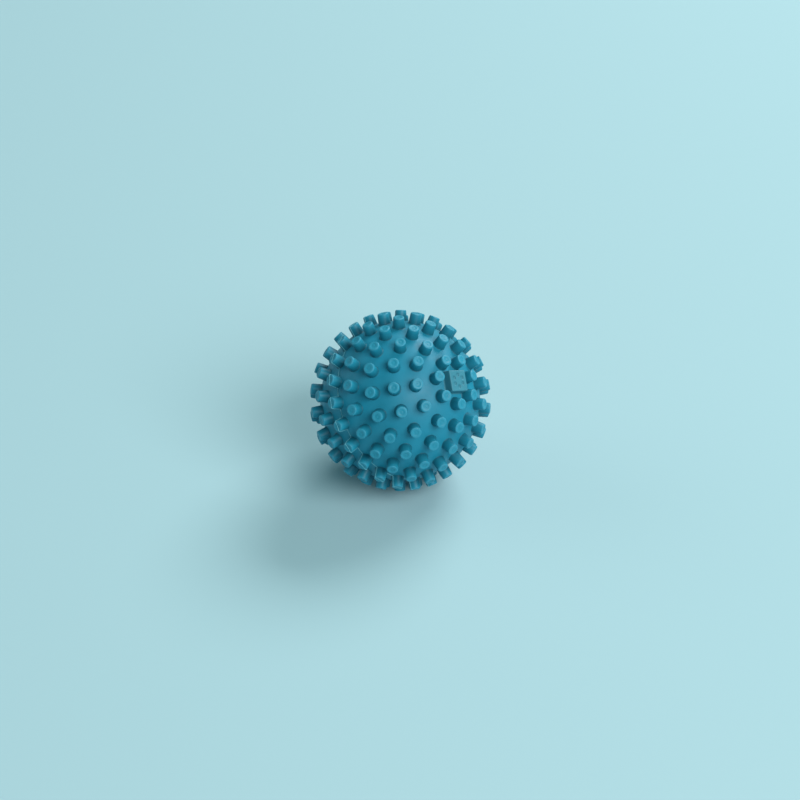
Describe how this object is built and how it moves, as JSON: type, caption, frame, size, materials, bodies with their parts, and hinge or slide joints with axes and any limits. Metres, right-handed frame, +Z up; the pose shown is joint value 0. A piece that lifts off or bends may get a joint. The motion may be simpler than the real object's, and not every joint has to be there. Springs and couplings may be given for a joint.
{
  "type": "massage ball",
  "caption": "Hollow studded massage ball: two welded half shells, rings of round studs, a square badge block and a plugged air valve.",
  "frame": {"origin": "centre of the ball, where the moulding axis crosses the plane of the seam", "axes": "+Z is up as the ball lies on the tips of three studs; the moulding axis leans 54 degrees from +Z towards the badge, in the direction 37 degrees from +X towards -Y; the seam is the plane square to that axis through the origin"},
  "size_m": [0.0896, 0.0902, 0.0894],
  "materials": {
    "shell": "satin",
    "studs": "satin",
    "seam": "satin",
    "badge": "satin",
    "valve_rubber": "matte",
    "plug": "satin"
  },
  "bodies": {
    "ball": {"front_half_shell": "shell", "back_half_shell": "shell", "seam_flash": "seam", "badge_block": "badge", "stud_ring_1": "studs", "stud_ring_2": "studs", "stud_ring_3": "studs", "stud_ring_4": "studs", "stud_ring_5": "studs", "stud_ring_6": "studs", "stud_ring_7": "studs", "stud_ring_8": "studs", "stud_ring_9": "studs", "stud_ring_10": "studs", "stud_ring_11": "studs", "valve_seat": "valve_rubber"},
    "plug": {"valve_plug": "plug"}
  },
  "joints": [
    {"name": "plug_pull", "type": "slide", "parent": "ball", "child": "plug", "axis": [-0.6461, 0.4869, -0.5878], "range_m": [0, 0.015]}
  ]
}
